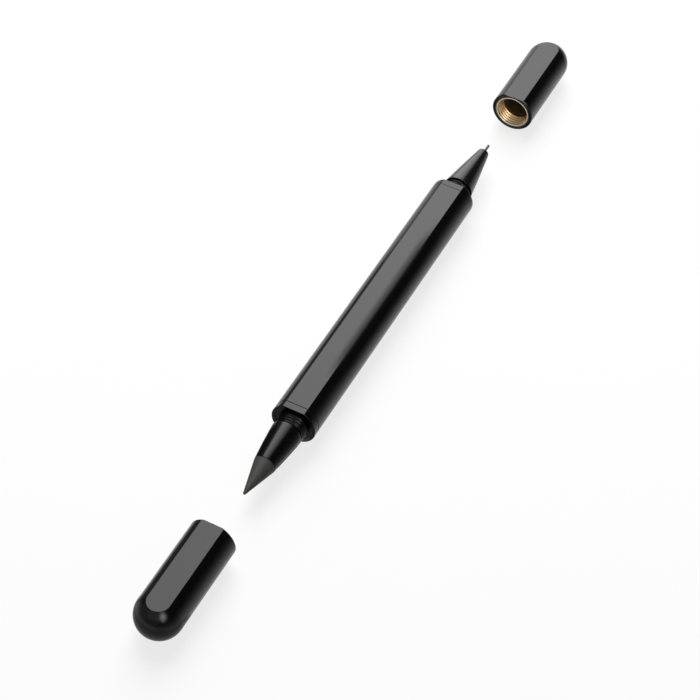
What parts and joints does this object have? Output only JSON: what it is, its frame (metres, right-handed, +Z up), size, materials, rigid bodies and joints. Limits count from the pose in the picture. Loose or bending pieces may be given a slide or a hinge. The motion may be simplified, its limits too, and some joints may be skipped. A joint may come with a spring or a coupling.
{
  "type": "double-ended metal pen",
  "caption": "Slim metal pen with a writing point at one end and a lasting pencil tip at the other, one long flat, and a domed screw cap for each end, both lying off.",
  "frame": {"origin": "on the surface the pen lies on, under the middle of the laid-out length", "axes": "+X along the pen towards the writing point, +Y across, +Z up, square to the long flat"},
  "size_m": [0.2152, 0.0114, 0.0107],
  "materials": {
    "black_metal": "smooth black anodised aluminium, semi-gloss",
    "thread_metal": "black turned metal with a fine thread",
    "graphite": "matte dark grey graphite alloy",
    "brass": "bright turned brass",
    "steel": "plain drawn steel",
    "rubber": "soft black rubber",
    "plastic": "natural white plastic",
    "ink": "dark ink"
  },
  "bodies": {
    "barrel": {"barrel_tube": "black_metal", "pen_end_collar": "black_metal", "pencil_end_collar": "black_metal", "divider_plug": "plastic", "refill_cushion": "rubber", "pencil_neck": "thread_metal", "pencil_cone": "black_metal"},
    "pen_section": {"pen_neck": "thread_metal", "pen_cone": "black_metal", "refill_tube": "steel", "refill_ink": "ink", "refill_tail_plug": "plastic", "refill_tip_socket": "brass", "refill_needle": "steel", "refill_ball": "steel"},
    "pen_cap": {"pen_cap_shell": "black_metal", "pen_cap_insert": "brass"},
    "pencil_tip": {"pencil_tip": "graphite", "pencil_tip_stud": "steel"},
    "pencil_cap": {"pencil_cap_shell": "black_metal", "pencil_cap_insert": "brass"}
  },
  "joints": [
    {"name": "pen_section_pull", "type": "slide", "parent": "barrel", "child": "pen_section", "axis": [1, 0, 0], "range_m": [0, 0.046]},
    {"name": "pen_cap_close", "type": "slide", "parent": "pen_section", "child": "pen_cap", "axis": [-1, 0, 0], "range_m": [0, 0.03665]},
    {"name": "pencil_tip_pull", "type": "slide", "parent": "barrel", "child": "pencil_tip", "axis": [-1, 0, 0], "range_m": [0, 0.0042]},
    {"name": "pencil_cap_close", "type": "slide", "parent": "barrel", "child": "pencil_cap", "axis": [1, 0, 0], "range_m": [0, 0.0363]}
  ]
}
